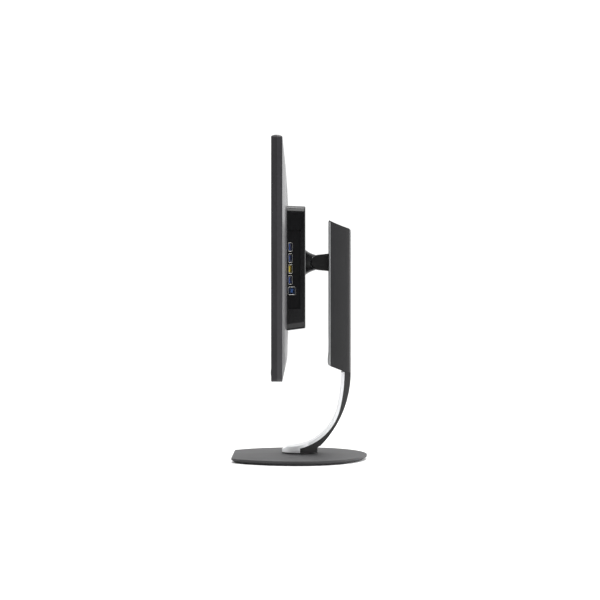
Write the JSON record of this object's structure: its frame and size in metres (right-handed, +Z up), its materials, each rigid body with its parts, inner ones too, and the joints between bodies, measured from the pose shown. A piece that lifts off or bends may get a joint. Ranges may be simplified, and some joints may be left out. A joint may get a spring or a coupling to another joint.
{
  "type": "desktop computer monitor",
  "caption": "Flat desktop monitor on a height, tilt, swivel and pivot stand, with side and bottom sockets and a slim rounded-plan base.",
  "frame": {"origin": "on the desk, below the middle of the base and on the stand's swivel axis", "axes": "+Z up, screen faces -Y, +X towards the side that holds the side sockets"},
  "size_m": [0.636, 0.232, 0.5325],
  "materials": {
    "base_paint": "satin",
    "tray_sheet": "mill",
    "steel": "satin",
    "rubber": "matt",
    "slide_plastic": "smooth",
    "stand_paint": "satin",
    "trim_silver": "satin",
    "column_plastic": "fine texture",
    "column_front": "satin",
    "arm_paint": "satin",
    "axle_steel": "ground",
    "spring_steel": "bright",
    "head_plastic": "fine texture",
    "housing_plastic": "fine texture",
    "hinge_plastic": "smooth",
    "screen_glass": "anti-glare",
    "film": "matt",
    "acrylic": "polished",
    "board": "solder mask",
    "socket_metal": "nickel",
    "socket_blue": "moulded",
    "socket_yellow": "moulded",
    "socket_black": "moulded",
    "insert_brass": "machined",
    "key_plastic": "satin",
    "lamp_lens": "clear"
  },
  "bodies": {
    "base": {"base_cover": "base_paint", "base_weight": "steel", "base_feet": "rubber", "base_thumbscrew": "steel", "swivel_race": "slide_plastic"},
    "stand": {"foot_disc": "stand_paint", "neck_frame": "stand_paint", "neck_front_trim": "trim_silver", "column_shell": "column_plastic", "column_front_cover": "column_front", "column_top_cap": "column_plastic", "column_channel": "steel", "column_screws": "axle_steel", "lift_spring_strips": "spring_steel"},
    "carriage": {"lift_carriage": "arm_paint", "glide_pads": "slide_plastic", "spool_axle": "axle_steel", "hinge_arm": "arm_paint", "tilt_axle": "axle_steel", "tilt_washers": "axle_steel"},
    "spring_spools": {"lift_spring_coils": "spring_steel"},
    "tilt_head": {"tilt_yoke": "steel", "pivot_spindle": "axle_steel", "hinge_cover": "hinge_plastic"},
    "menu_key": {"menu_key": "key_plastic"},
    "input_key": {"input_key": "key_plastic"},
    "up_key": {"up_key": "key_plastic"},
    "down_key": {"down_key": "key_plastic"},
    "power_button": {"power_button": "key_plastic"},
    "power_rocker": {"power_rocker": "socket_black"},
    "release_button": {"release_button": "key_plastic"},
    "display": {"mount_plate": "steel", "mount_screws": "axle_steel", "vesa_inserts": "insert_brass", "chassis_plate": "steel", "main_board": "board", "power_board": "board", "usb_hub_board": "board", "key_board": "board", "usb_a_shells": "socket_metal", "usb_a_tongues": "socket_blue", "fast_charge_tongue": "socket_yellow", "usb_b_shell": "socket_metal", "usb_b_tongue": "socket_blue", "io_side_panel": "housing_plastic", "io_bottom_panel": "housing_plastic", "ac_inlet": "socket_black", "rocker_frame": "socket_black", "video_sockets": "socket_metal", "rear_housing": "housing_plastic", "housing_screws": "axle_steel", "rear_cover": "head_plastic", "front_bezel": "head_plastic", "lcd_panel": "screen_glass", "optical_sheets": "film", "light_guide": "acrylic", "led_strip": "board", "panel_tray": "tray_sheet", "power_led": "lamp_lens", "speakers": "socket_black"}
  },
  "joints": [
    {"name": "base_swivel", "type": "hinge", "parent": "base", "child": "stand", "pos_m": [0, 0, 0.0103], "axis": [0, 0, 1], "range_deg": [-65, 65]},
    {"name": "height", "type": "slide", "parent": "stand", "child": "carriage", "axis": [0, 0, 1], "range_m": [-0.1, 0.04]},
    {"name": "spool_spin", "type": "hinge", "parent": "carriage", "child": "spring_spools", "pos_m": [0, 0.0695, 0.3], "axis": [1, 0, 0], "range_deg": [-232, 576]},
    {"name": "tilt", "type": "hinge", "parent": "carriage", "child": "tilt_head", "pos_m": [0, 0.032, 0.34], "axis": [-1, 0, 0], "range_deg": [-5, 20]},
    {"name": "portrait_pivot", "type": "hinge", "parent": "tilt_head", "child": "display", "pos_m": [0, 0.007, 0.34], "axis": [0, 1, 0], "range_deg": [0, 30]},
    {"name": "mains_rocker", "type": "hinge", "parent": "display", "child": "power_rocker", "pos_m": [-0.072, -0.008, 0.239], "axis": [0, 1, 0], "range_deg": [0, 13]},
    {"name": "stand_release", "type": "slide", "parent": "display", "child": "release_button", "axis": [0, 0, -1], "range_m": [0, 0.0035], "stiffness_N_per_m": 400},
    {"name": "menu_press", "type": "slide", "parent": "display", "child": "menu_key", "axis": [0, 1, 0], "range_m": [0, 0.0008], "stiffness_N_per_m": 1500},
    {"name": "input_press", "type": "slide", "parent": "display", "child": "input_key", "axis": [0, 1, 0], "range_m": [0, 0.0008], "stiffness_N_per_m": 1500},
    {"name": "up_press", "type": "slide", "parent": "display", "child": "up_key", "axis": [0, 1, 0], "range_m": [0, 0.0008], "stiffness_N_per_m": 1500},
    {"name": "down_press", "type": "slide", "parent": "display", "child": "down_key", "axis": [0, 1, 0], "range_m": [0, 0.0008], "stiffness_N_per_m": 1500},
    {"name": "power_press", "type": "slide", "parent": "display", "child": "power_button", "axis": [0, 1, 0], "range_m": [0, 0.0008], "stiffness_N_per_m": 1500}
  ],
  "couplings": [
    {"joint": "spool_spin", "follows": "height", "rad_per_m": -100}
  ]
}
